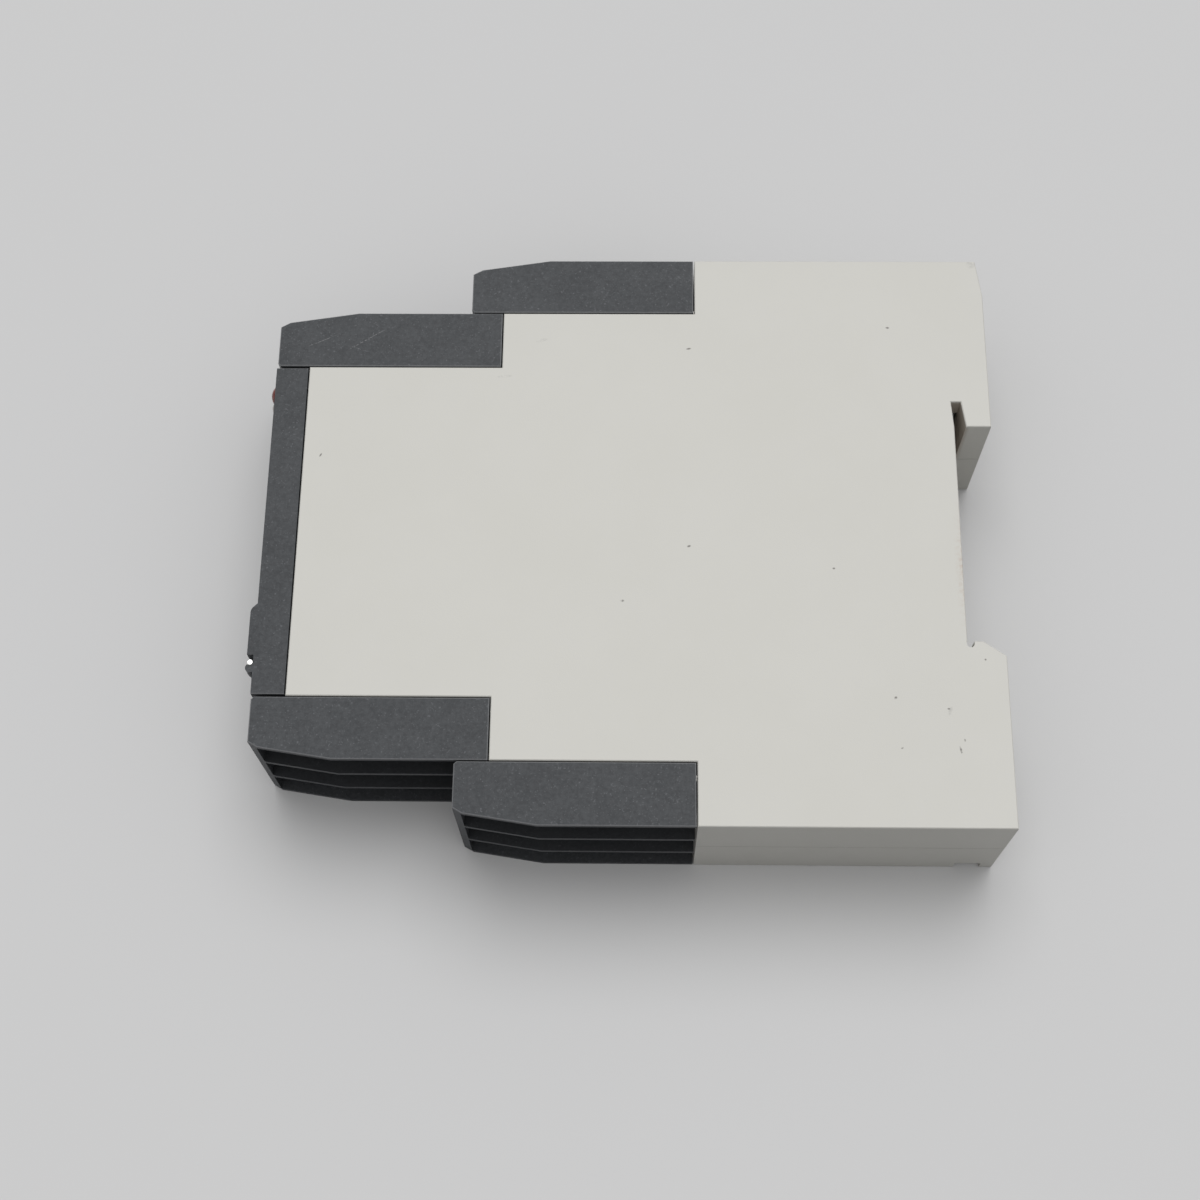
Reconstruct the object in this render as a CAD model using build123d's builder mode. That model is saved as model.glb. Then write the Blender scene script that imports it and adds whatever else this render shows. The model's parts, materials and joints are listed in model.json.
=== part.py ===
"""Current monitoring relay for a 35 mm mounting rail, 22.5 mm wide, lying on its left side.

The housing is two moulded half shells that meet at the middle of the width. A front cover with
a small hinged flap closes them, and four plug-in terminal blocks with screw clamps push on from
the front, one step behind the other at the top and at the bottom.

Axes: +X runs from the front face to the rail, +Y is the relay's upper end, +Z its right side.
Origin: on the rail seat, at half the height and half the width. All sizes are in millimetres.
"""

from build123d import *
import math
import os

# Housing. The front height lies between the two rows of terminal blocks
width = 22.5
front_height = 52.6
seat_to_front = 102.2
seat_to_back = 5.5
wall = 1.8
edge_break = 0.12

# Rail notch at the back, a fixed hook above and a nose below
hook_tip = 16.6
hook_inside = 1.8
slot_depth = 4.15
slot_width = 1.5
slot_lean = 0.3
nose_top = -17.5
nose_end = 2.3
nose_drop = 2.2
groove_radius = 0.55
groove_drop = 0.4
groove_back_step = 0.1
top_draft = 0.83
top_draft_height = 5.95

# Shallow notch for a screwdriver in the left shell's lower edge
prise_start = -0.15
prise_length = 3.8
prise_height = 2.3
prise_depth = 1.0

# Terminal block, outside
tier_offset = 29.25
contact_room = 17.0
channel_depth = 3.3
block_setback = 0.1
block_gap = 0.2
slope_length = 11.9
slope_drop = 1.65
nose_length = 1.4
nose_cut = 0.8
block_corner = 0.4
cheek_thickness = 0.85
rib_thickness = 0.8
front_wall = 1.2
block_edge = 0.15

# Clamp screw and rising cage, along the block from its front face
screw_seat = 5.0
shelf = 1.2
shank_radius = 1.5
head_overlap = 0.5
head_height = 1.6
driver_slot = 0.7
driver_slot_depth = 0.8
cage_front = 1.6
cage_window = 4.6
cage_back = 1.2
cage_travel = 3.0
cage_height = 3.7
cage_share = 0.86
opening_share = 0.71
cage_play = 0.15
cage_room_play = 0.3
channel_skin = 0.85
strip_side_gap = 0.15
wire_share = 0.69
clamp_gap = 0.2
running_gap = 0.1
thread_gap = 0.05

# Contact strip and header pin
floor_skin = 0.4
strip = 0.6
strip_gap = 0.05
leaf_reach = 11.9
contact_mouth = 2.9
leaf_thickness = 0.5
pin_thickness = 0.8
pin_share = 0.67
pin_tip_gap = 2.0
leg_size = 1.0
leg_reach = 7.0
leg_step = 3.0
leg_out = 0.8
edge_pin_reach = 4.5

# Front cover, flap and hinge pin
cover_depth = 4.9
cover_plate = 1.8
cover_skirt = 1.2
cover_gap = 0.2
tongue_length = 4.6
tongue_thickness = 1.2
tongue_inset = 1.45
tongue_lamp_gap = 3.15
tongue_root = 0.5
catch_height = 0.5
catch_length = 1.2
ear_thickness = 2.2
ear_rise = 0.94
ear_slope = 0.59
ear_length = 7.9
ear_to_hinge = 1.14
hinge_rise = 4.96
hinge_stand = 0.46
hinge_pin_radius = 0.48
knuckle_radius = 0.95
knuckle_gap = 0.15
lip_radius = 0.69
lip_drop = 0.86
lip_stand = 0.38
flap_thickness = 0.8
flap_gap = 0.2

# Lamps, setting knobs and reset button
lamp_radius = 1.6
lamp_dome = 0.45
lamp_gap = 0.9
guide_size = 2.2
led_size = 1.6
led_thickness = 0.5
knob_radius = 3.8
knob_thickness = 2.4
knob_sink = 0.15
knob_gap = 0.15
knob_blade = 0.8
pointer_size = 1.2
button_radius = 2.0
button_foot = 4.8
button_travel = 0.8
fit_gap = 0.05

# Circuit boards
board = 1.6
board_clearance = 0.5
solder_room = 1.45
front_board_gap = 6.9
front_board_margin = 0.4
pot_size = 6.6
pot_thickness = 3.5
switch_size = 6.0
link_length = 3.4
link_width = 16.0
link_height = 2.5
link_edge = 0.6

# Posts that clamp the main board, with round dowels through it
post_size = 5.0
post_inset = 8.0
dowel_radius = 1.2
dowel_reach = 3.5
rear_post_height = 3.5

# Parts on the main board
relay_length = 28.0
relay_depth = 12.5
relay_lid_gap = 0.85
relay_edge = 0.6
relay_height = 16.75
rear_parts_gap = 5.2
core_length = 24.0
core_depth = 20.0
core_thickness = 7.0
core_limb = 3.5
core_level = -14.0
coil_depth = 11.6
coil_lid_gap = 0.3
coil_board_gap = 0.15
coil_gap = 0.25
coil_corner = 1.5
capacitor_radius = 5.0
capacitor_lid_gap = 1.85
capacitor_edge = 0.6
side_parts_height = 12.0
chip_size = 12.0
chip_thickness = 1.6
chip_edge = 0.3
shunt_length = 14.0
shunt_height = 7.0
shunt_width = 6.0
shunt_thickness = 0.8

# Leaf spring above the slot
spring_thickness = 0.5
spring_bow = 1.0
spring_inset = 2.05
spring_room = 2.15
spring_pocket_play = 0.5

# Places and sizes that follow from the ones above
half_width = width / 2
inside_width = half_width - wall
channel_width = (width - 2 * cheek_thickness - 2 * rib_thickness) / 3
pole_pitch = channel_width + rib_thickness
poles = (-pole_pitch, 0, pole_pitch)

cage_width = cage_share * channel_width
cage_opening = opening_share * cage_width
strip_width = cage_opening - 2 * strip_side_gap
pin_width = pin_share * strip_width
wire_entry_width = wire_share * channel_width
head_radius = shank_radius + head_overlap
cage_length = cage_front + cage_window + cage_back
cage_low = floor_skin + strip + cage_play
screw_axis = cage_low + cage_height / 2
cage_open = screw_seat + shelf + clamp_gap + cage_travel
cage_room_start = screw_seat + shelf
cage_room_end = cage_open + cage_length + clamp_gap
tongue_front = cage_open + cage_front + running_gap
tongue_back = tongue_front + strip

block_length = cage_room_end + contact_room
channel_floor = cage_low + cage_height + cage_play + channel_skin
block_height = channel_floor + channel_depth
tier_height = block_height + block_gap
leaf_start = block_length - leaf_reach
pin_entry = leaf_reach - leaf_thickness - pin_tip_gap
pin_low = floor_skin + strip + strip_gap
pin_middle = pin_low + pin_thickness / 2
leaf_low = pin_low + pin_thickness + strip_gap
leaf_top = leaf_low + leaf_thickness

shoulder_front = front_height / 2
shoulder_rear = shoulder_front + tier_height
half_height = shoulder_rear + tier_height
front_face = -seat_to_front
cover_back = front_face + cover_depth - cover_gap / 2
seam = cover_back + cover_gap
front_block_face = front_face + block_setback
front_pocket_end = front_block_face + block_length + block_gap
rear_pocket_end = front_pocket_end + tier_offset
rear_block_face = rear_pocket_end - block_gap - block_length
front_walls_end = front_pocket_end + wall
rear_walls_end = rear_pocket_end + wall
slot_end = hook_tip + slot_depth
groove_middle = groove_radius - groove_back_step
spring_middle = slot_width / 2 - slot_lean
spring_reach = inside_width - spring_inset

board_low = -inside_width + solder_room
board_top = board_low + board
parts_room = inside_width - board_top
plate_back = front_face + cover_plate
front_board_face = plate_back + front_board_gap
front_board_back = front_board_face + board
main_board_front = front_board_back + clamp_gap
switch_face = front_board_face - pot_thickness

lamp_height = shoulder_front - wall - lamp_radius
lamp_side = inside_width - lamp_radius
inner_lamp_side = lamp_side - 2 * lamp_radius - lamp_gap
lamp_places = [(lamp_height, lamp_side), (lamp_height, inner_lamp_side)]
hinge_axis = front_face - hinge_stand
hinge_height = hinge_rise - shoulder_front
ear_bottom = hinge_height + ear_to_hinge
ear_top = ear_bottom + ear_length
ear_round = (ear_rise - ear_slope) / (1 - math.cos(math.pi / 4))
ear_slope_end = ear_top - ear_slope - ear_round * math.sin(math.pi / 4)
button_height = (ear_top + ear_bottom) / 2
lamp_bottom = lamp_height - lamp_radius
knob_spacing = (lamp_bottom - ear_top) / 3
knob_heights = [lamp_bottom - knob_spacing * (step + 0.5) for step in range(3)]
cover_half = shoulder_front - cover_gap
tongue_outside = shoulder_front - wall - running_gap
tongue_start = tongue_inset - inside_width
tongue_width = inner_lamp_side - lamp_radius - tongue_lamp_gap - tongue_start

core_front = -wall - rear_parts_gap - core_length
control_middle = (main_board_front + core_front) / 2
post_places = [
    (main_board_front + post_inset, shoulder_front - post_inset),
    (main_board_front + post_inset, post_inset - shoulder_front),
    (rear_pocket_end - post_inset, shoulder_rear - post_inset),
    (rear_pocket_end - post_inset, post_inset - shoulder_rear),
    (-wall - rear_parts_gap, rear_post_height),
]

os.makedirs("parts", exist_ok=True)


def save(piece, name):
    """Labels a finished piece and writes its STEP file."""
    piece.part.label = name
    export_step(piece.part, f"parts/{name}.step")


def stepped_area(front, back, low_half, middle_half, high_half, clearance):
    """Fills the three steps of the housing's inside, less a clearance, as one sketch."""
    steps = [
        (front, low_half),
        (front_walls_end + clearance, middle_half),
        (rear_walls_end + clearance, high_half),
    ]
    for start, half in steps:
        with Locations(((start + back) / 2, 0)):
            Rectangle(back - start, 2 * (half - clearance))


# Half shells


def housing_outline():
    """Side profile of the housing, with the hook, the slot and the nose that hold the rail."""
    with BuildSketch() as outline:
        with BuildLine():
            Polyline(
                (0, nose_top),
                (0, hook_tip),
                (-slot_lean, slot_end),
                (slot_width - slot_lean, slot_end),
                (hook_inside, hook_tip),
                (seat_to_back, hook_tip),
                (seat_to_back, half_height - top_draft_height),
                (seat_to_back - top_draft, half_height),
                (rear_pocket_end, half_height),
                (rear_pocket_end, shoulder_rear),
                (front_pocket_end, shoulder_rear),
                (front_pocket_end, shoulder_front),
                (seam, shoulder_front),
                (seam, -shoulder_front),
                (front_pocket_end, -shoulder_front),
                (front_pocket_end, -shoulder_rear),
                (rear_pocket_end, -shoulder_rear),
                (rear_pocket_end, -half_height),
                (seat_to_back, -half_height),
                (seat_to_back, nose_top - nose_drop),
                (nose_end, nose_top),
                close=True,
            )
        make_face()
    return outline.sketch


def inside_outline():
    """Room inside the walls, open at the front, with the hollows behind the rail seat."""
    low_half, middle_half, high_half = shoulder_front - wall, shoulder_rear - wall, half_height - wall
    upper_low = slot_end + spring_room + wall
    lower_high = nose_top - nose_drop - wall
    hollow_back = seat_to_back - wall
    with BuildSketch() as room:
        stepped_area(seam - wall, -wall, low_half, middle_half, high_half, 0)
        with Locations((hollow_back, high_half)):
            Rectangle(hollow_back + 2 * wall, high_half - upper_low, align=(Align.MAX, Align.MAX))
        with Locations((hollow_back, -high_half)):
            Rectangle(hollow_back + 2 * wall, high_half + lower_high, align=(Align.MAX, Align.MIN))
    return room.sketch


def half_shell(side):
    """One half of the housing: its side plate and its share of every edge wall."""
    catch_middle = cover_back + tongue_length - catch_length
    headers = [
        (wall_front, turn * (shoulder + block_gap + pin_middle))
        for wall_front, shoulder in ((front_pocket_end, shoulder_front), (rear_pocket_end, shoulder_rear))
        for turn in (1, -1)
    ]
    with BuildPart() as shell:
        with BuildSketch(Plane.XY):
            add(housing_outline())
        extrude(amount=side * half_width)
        chamfer(shell.faces().sort_by(Axis.Z)[-1 if side > 0 else 0].edges(), edge_break)
        with BuildSketch(Plane.XY):
            add(inside_outline())
        extrude(amount=side * inside_width, mode=Mode.SUBTRACT)

        # Groove between the rail seat and the nose
        with BuildSketch(Plane.XY):
            with Locations((groove_middle, nose_top)):
                Rectangle(2 * groove_radius, groove_drop, align=(Align.CENTER, Align.MAX))
            with Locations((groove_middle, nose_top - groove_drop)):
                Circle(groove_radius)
        extrude(amount=side * half_width, mode=Mode.SUBTRACT)

        # Posts: the board lies on the left ones, and the right ones press on it
        if side < 0:
            with BuildSketch(Plane.XY.offset(-inside_width)):
                with Locations(*post_places):
                    Rectangle(post_size, post_size)
            extrude(amount=solder_room)
            with BuildSketch(Plane.XY.offset(board_low)):
                with Locations(*post_places):
                    Circle(dowel_radius)
            extrude(amount=board + dowel_reach)
        else:
            with BuildSketch(Plane.XY.offset(board_top + fit_gap)):
                with Locations(*post_places):
                    Rectangle(post_size, post_size)
            extrude(amount=parts_room - fit_gap)
            with BuildSketch(Plane.XY.offset(board_top)):
                with Locations(*post_places):
                    Circle(dowel_radius + fit_gap)
            extrude(amount=dowel_reach + clamp_gap, mode=Mode.SUBTRACT)

        # Slots for the header pins, pockets for the cover's catches and for the rail spring
        for wall_front, pin_y in headers:
            with BuildSketch(Plane.YZ.offset(wall_front - wall / 2)):
                with Locations(*[(pin_y, z) for z in poles]):
                    Rectangle(pin_thickness + 2 * running_gap, pin_width + 2 * running_gap)
            extrude(amount=2 * wall, mode=Mode.SUBTRACT)
        with BuildSketch(Plane.XY.offset(tongue_start - clamp_gap)):
            with Locations((catch_middle, shoulder_front - wall), (catch_middle, wall - shoulder_front)):
                Rectangle(catch_length + 2 * clamp_gap, 2 * (catch_height + clamp_gap))
        extrude(amount=tongue_width + 2 * clamp_gap, mode=Mode.SUBTRACT)
        with BuildSketch(Plane.XY):
            with Locations((spring_middle, slot_end + spring_room / 2)):
                Rectangle(slot_width + 2 * spring_pocket_play, spring_room)
        extrude(amount=side * (spring_reach + clamp_gap), mode=Mode.SUBTRACT)
        if side < 0:
            with BuildSketch(Plane.XY.offset(-half_width)):
                with Locations((prise_start, -half_height)):
                    Rectangle(prise_length, prise_depth, align=(Align.MIN, Align.MIN))
            extrude(amount=prise_height, mode=Mode.SUBTRACT)
    return shell


save(half_shell(1), "right_half_shell")
save(half_shell(-1), "left_half_shell")

# Front cover with its flap

pin_seat = (hinge_axis, hinge_height)

with BuildPart() as front_cover:
    with BuildSketch(Plane.YZ.offset(front_face)):
        Rectangle(2 * cover_half, width)
    extrude(amount=cover_back - front_face)
    chamfer(front_cover.edges().filter_by(Axis.X), edge_break)
    with BuildSketch(Plane.YZ.offset(plate_back)):
        Rectangle(2 * (cover_half - cover_skirt), 2 * (half_width - cover_skirt))
    extrude(amount=cover_depth, mode=Mode.SUBTRACT)

    # Raised ears at both sides hold the hinge pin, with the flap between them
    for side in (1, -1):
        ear_start = half_width if side > 0 else -half_width + ear_thickness
        with BuildSketch(Plane.XY.offset(ear_start)):
            with BuildLine():
                slope = Polyline(
                    (front_face + cover_plate / 2, ear_top),
                    (front_face, ear_top),
                    (front_face - ear_slope, ear_top - ear_slope),
                )
                rounding = TangentArc(
                    slope @ 1, (front_face - ear_rise, ear_slope_end), tangent=slope % 1
                )
                Polyline(
                    rounding @ 1,
                    (front_face - ear_rise, ear_bottom),
                    (front_face + cover_plate / 2, ear_bottom),
                    slope @ 0,
                )
            make_face()
            with Locations((front_face - lip_stand, hinge_height - lip_drop)):
                Circle(lip_radius)
        extrude(amount=-ear_thickness)
        with BuildSketch(Plane.XY.offset(ear_start)):
            with Locations(pin_seat):
                Circle(hinge_pin_radius + fit_gap)
        extrude(amount=-ear_thickness, mode=Mode.SUBTRACT)
    with BuildSketch(Plane.XY.offset(-half_width + ear_thickness)):
        with Locations(pin_seat):
            Circle(knuckle_radius + knuckle_gap)
    extrude(amount=2 * (half_width - ear_thickness), mode=Mode.SUBTRACT)
    with BuildSketch(Plane.YZ.offset(front_face - ear_rise)):
        with Locations(*lamp_places):
            Circle(lamp_radius + fit_gap)
        with Locations(*[(y, 0) for y in knob_heights]):
            Circle(knob_radius + knob_gap)
        with Locations((button_height, 0)):
            Circle(button_radius + running_gap)
    extrude(amount=ear_rise + cover_depth, mode=Mode.SUBTRACT)
    for side in (1, -1):
        with BuildSketch(Plane.XY.offset(tongue_start)):
            with Locations((plate_back - tongue_root, side * tongue_outside)):
                Rectangle(
                    cover_back - plate_back + tongue_root + tongue_length,
                    tongue_thickness,
                    align=(Align.MIN, Align.MAX if side > 0 else Align.MIN),
                )
            with Locations((cover_back + tongue_length - catch_length, side * tongue_outside)):
                Rectangle(catch_length, 2 * catch_height)
        extrude(amount=tongue_width)
save(front_cover, "front_cover")

with BuildPart() as cover_flap:
    flap_half = half_width - ear_thickness - running_gap
    flap_back = front_face - running_gap
    flap_front = flap_back - flap_thickness
    with BuildSketch(Plane.XY.offset(-flap_half)):
        with BuildLine():
            Polyline(
                (flap_back, ear_top - ear_slope / 2),
                (flap_front, ear_slope_end - flap_gap),
                (flap_front, hinge_height),
                (flap_back, hinge_height),
                close=True,
            )
        make_face()
        with Locations(pin_seat):
            Circle(knuckle_radius)
        with Locations(pin_seat):
            Circle(hinge_pin_radius + fit_gap, mode=Mode.SUBTRACT)
    extrude(amount=2 * flap_half)
save(cover_flap, "cover_flap")

with BuildPart() as flap_pin:
    with BuildSketch(Plane.XY.offset(-half_width)):
        with Locations(pin_seat):
            Circle(hinge_pin_radius)
    extrude(amount=width)
save(flap_pin, "flap_pin")

# Lamps, knobs and the reset button


def lamp(y, z):
    """Domed lens that fills its hole in the cover, with a square light guide down to its LED."""
    with BuildPart() as lens:
        with BuildSketch(Plane.YZ.offset(front_face)):
            with Locations((y, z)):
                Circle(lamp_radius)
        extrude(amount=cover_plate)
        with BuildSketch(Plane.YZ.offset(plate_back)):
            with Locations((y, z)):
                Rectangle(guide_size, guide_size)
        extrude(amount=front_board_gap - led_thickness - running_gap)
        dome_radius = (lamp_radius**2 + lamp_dome**2) / (2 * lamp_dome)
        with BuildSketch(Plane(origin=(front_face, y, z), x_dir=(1, 0, 0), z_dir=(0, 0, 1))):
            with BuildLine():
                Line((0, 0), (-lamp_dome, 0))
                RadiusArc((-lamp_dome, 0), (0, lamp_radius), dome_radius)
                Line((0, lamp_radius), (0, 0))
            make_face()
        revolve(axis=Axis((0, y, z), (1, 0, 0)))
    return lens


save(lamp(*lamp_places[0]), "red_lamp")
save(lamp(*lamp_places[1]), "clear_lamp")

with BuildPart() as status_leds:
    with BuildSketch(Plane.YZ.offset(front_board_face)):
        with Locations(*lamp_places):
            Rectangle(led_size, led_size)
    extrude(amount=-led_thickness)
save(status_leds, "status_leds")


def knob(y):
    """Setting knob, flush in the cover, with a driver slot, a pointer notch and a blade."""
    face = front_face + knob_sink
    with BuildPart() as dial:
        with BuildSketch(Plane.YZ.offset(face)):
            with Locations((y, 0)):
                Circle(knob_radius)
        extrude(amount=knob_thickness)
        with BuildSketch(Plane.YZ.offset(face)):
            with Locations((y, 0)):
                Rectangle(knob_radius, knob_blade)
        extrude(amount=switch_face - running_gap - face)
        with BuildSketch(Plane.YZ.offset(face)):
            with Locations((y, 0)):
                Rectangle(1.5 * knob_radius, driver_slot)
            with Locations((y + knob_radius - pointer_size / 2, 0)):
                Triangle(a=pointer_size, b=pointer_size, c=pointer_size, rotation=-90)
        extrude(amount=driver_slot_depth, mode=Mode.SUBTRACT)
    return dial


for name, y in zip(("threshold_knob", "hysteresis_knob", "delay_knob"), knob_heights):
    save(knob(y), name)

with BuildPart() as setting_pots:
    with BuildSketch(Plane.YZ.offset(front_board_face)):
        with Locations(*[(y, 0) for y in knob_heights]):
            Rectangle(pot_size, pot_size)
    extrude(amount=-pot_thickness)
save(setting_pots, "setting_pots")

with BuildPart() as reset_button:
    button_face = front_face + knob_sink
    foot_face = plate_back + running_gap
    with BuildSketch(Plane.YZ.offset(button_face)):
        with Locations((button_height, 0)):
            Circle(button_radius)
    extrude(amount=foot_face - button_face)
    with BuildSketch(Plane.YZ.offset(foot_face)):
        with Locations((button_height, 0)):
            Rectangle(button_foot, button_foot)
    extrude(amount=switch_face - button_travel - running_gap - foot_face)
save(reset_button, "reset_button")

with BuildPart() as reset_switch:
    with BuildSketch(Plane.YZ.offset(front_board_face)):
        with Locations((button_height, 0)):
            Rectangle(switch_size, switch_size)
    extrude(amount=-pot_thickness)
save(reset_switch, "reset_switch")

# Circuit boards

with BuildPart() as front_board:
    with BuildSketch(Plane.YZ.offset(front_board_face)):
        Rectangle(2 * (shoulder_front - wall - front_board_margin), 2 * (inside_width - clamp_gap))
        for side in (1, -1):
            with Locations((side * tongue_outside, tongue_start + tongue_width / 2)):
                Rectangle(
                    2 * (tongue_thickness + clamp_gap),
                    tongue_width + 2 * clamp_gap,
                    mode=Mode.SUBTRACT,
                )
    extrude(amount=board)
save(front_board, "front_board")


def header_places():
    """Wall inside and pin height of each of the four headers."""
    for wall_end, shoulder in ((front_walls_end, shoulder_front), (rear_walls_end, shoulder_rear)):
        for side in (1, -1):
            yield wall_end, side * (shoulder + block_gap + pin_middle)


with BuildPart() as main_board:
    with BuildSketch(Plane.XY.offset(board_low)):
        stepped_area(
            main_board_front,
            -wall - board_clearance,
            shoulder_front - wall,
            shoulder_rear - wall,
            half_height - wall,
            board_clearance,
        )
        with Locations(*post_places):
            Circle(dowel_radius + running_gap, mode=Mode.SUBTRACT)
        for wall_end, pin_y in header_places():
            with Locations((wall_end, pin_y)):
                Rectangle(
                    edge_pin_reach + running_gap,
                    pin_thickness + 2 * running_gap,
                    align=(Align.MIN, Align.CENTER),
                    mode=Mode.SUBTRACT,
                )
            with Locations((wall_end + leg_reach, pin_y), (wall_end + leg_reach + leg_step, pin_y)):
                Rectangle(
                    leg_size + 2 * running_gap,
                    pin_thickness + 2 * running_gap,
                    mode=Mode.SUBTRACT,
                )
    extrude(amount=board)
save(main_board, "main_board")

with BuildPart() as board_link:
    with BuildSketch(Plane.XY.offset(board_top)):
        with Locations((front_board_back, 0)):
            Rectangle(link_length, link_width, align=(Align.MIN, Align.CENTER))
    extrude(amount=link_height)
    chamfer(board_link.faces().sort_by(Axis.Z)[-1].edges().filter_by(Axis.Y), link_edge)
save(board_link, "board_link")

# Parts on the main board

with BuildPart() as output_relay:
    with BuildSketch(Plane.XY.offset(board_top)):
        with Locations((-wall - rear_parts_gap, relay_height)):
            Rectangle(relay_length, relay_depth, align=(Align.MAX, Align.CENTER))
    extrude(amount=parts_room - relay_lid_gap)
    chamfer(output_relay.faces().sort_by(Axis.Z)[-1].edges(), relay_edge)
save(output_relay, "output_relay")

core_middle = (core_front + core_length / 2, core_level)
coil_height = parts_room - coil_board_gap - coil_lid_gap
coil_middle = board_top + coil_board_gap + coil_height / 2
limb_half = (core_length / 2 - core_limb) / 2 - coil_gap
window_width = core_length / 2 - core_limb - limb_half
coil_width = 2 * (limb_half + window_width - coil_gap)

with BuildPart() as transformer_core:
    with BuildSketch(Plane.XY.offset(coil_middle - core_thickness / 2)):
        with Locations(core_middle):
            Rectangle(core_length, core_depth)
            with Locations(
                (limb_half + window_width / 2, 0),
                (-limb_half - window_width / 2, 0),
            ):
                Rectangle(window_width, coil_depth + 2 * clamp_gap, mode=Mode.SUBTRACT)
    extrude(amount=core_thickness)
save(transformer_core, "transformer_core")

with BuildPart() as transformer_coil:
    with BuildSketch(Plane.XZ.offset(-core_level - coil_depth / 2)):
        with Locations((core_middle[0], coil_middle)):
            RectangleRounded(coil_width, coil_height, coil_corner)
            Rectangle(
                2 * (limb_half + running_gap),
                core_thickness + 2 * running_gap,
                mode=Mode.SUBTRACT,
            )
    extrude(amount=coil_depth)
save(transformer_coil, "transformer_coil")

with BuildPart() as supply_capacitor:
    with BuildSketch(Plane.XY.offset(board_top)):
        with Locations((control_middle, -side_parts_height)):
            Circle(capacitor_radius)
    extrude(amount=parts_room - capacitor_lid_gap)
    chamfer(supply_capacitor.faces().sort_by(Axis.Z)[-1].edges(), capacitor_edge)
save(supply_capacitor, "supply_capacitor")

with BuildPart() as processor_chip:
    with BuildSketch(Plane.XY.offset(board_top)):
        with Locations((control_middle, 0)):
            Rectangle(chip_size, chip_size)
    extrude(amount=chip_thickness)
    chamfer(processor_chip.faces().sort_by(Axis.Z)[-1].edges(), chip_edge)
save(processor_chip, "processor_chip")

with BuildPart() as measuring_shunt:
    with BuildSketch(Plane.XZ.offset(-side_parts_height - shunt_width / 2)):
        with Locations((control_middle, board_top)):
            Rectangle(shunt_length, shunt_height, align=(Align.CENTER, Align.MIN))
            Rectangle(
                shunt_length - 2 * shunt_thickness,
                shunt_height - shunt_thickness,
                align=(Align.CENTER, Align.MIN),
                mode=Mode.SUBTRACT,
            )
    extrude(amount=shunt_width)
save(measuring_shunt, "measuring_shunt")

with BuildPart() as rail_spring:
    spring_low = slot_end + spring_room - spring_thickness - cage_play
    with BuildSketch(Plane.YZ.offset(spring_middle - slot_width / 2)):
        with BuildLine():
            inner = ThreePointArc(
                (spring_low, -spring_reach),
                (spring_low - spring_bow, 0),
                (spring_low, spring_reach),
            )
            outer = ThreePointArc(
                (spring_low + spring_thickness, -spring_reach),
                (spring_low + spring_thickness - spring_bow, 0),
                (spring_low + spring_thickness, spring_reach),
            )
            Line(inner @ 0, outer @ 0)
            Line(inner @ 1, outer @ 1)
        make_face()
    extrude(amount=slot_width)
save(rail_spring, "rail_spring")

# Terminal blocks. Each is drawn on its own plane: local X runs back from the block's front face,
# local Y outwards from its inner face, and local Z across the width.


def block_plane(face, shoulder, side):
    """Plane on the block's front inner edge, the same for all four blocks."""
    return Plane(
        origin=(face, side * (shoulder + block_gap), 0),
        x_dir=(1, 0, 0),
        z_dir=(0, 0, side),
    )


def across(base, along, outwards=0, sideways=0):
    """Plane square to the block's length, with its own X outwards and its Y across the width."""
    return Plane(
        origin=base.from_local_coords((along, outwards, sideways)),
        x_dir=base.y_dir,
        z_dir=base.x_dir,
    )


def level(base, outwards):
    """Plane parallel to the block's inner face."""
    return Plane(
        origin=base.from_local_coords((0, outwards, 0)),
        x_dir=base.x_dir,
        z_dir=base.y_dir,
    )


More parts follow.
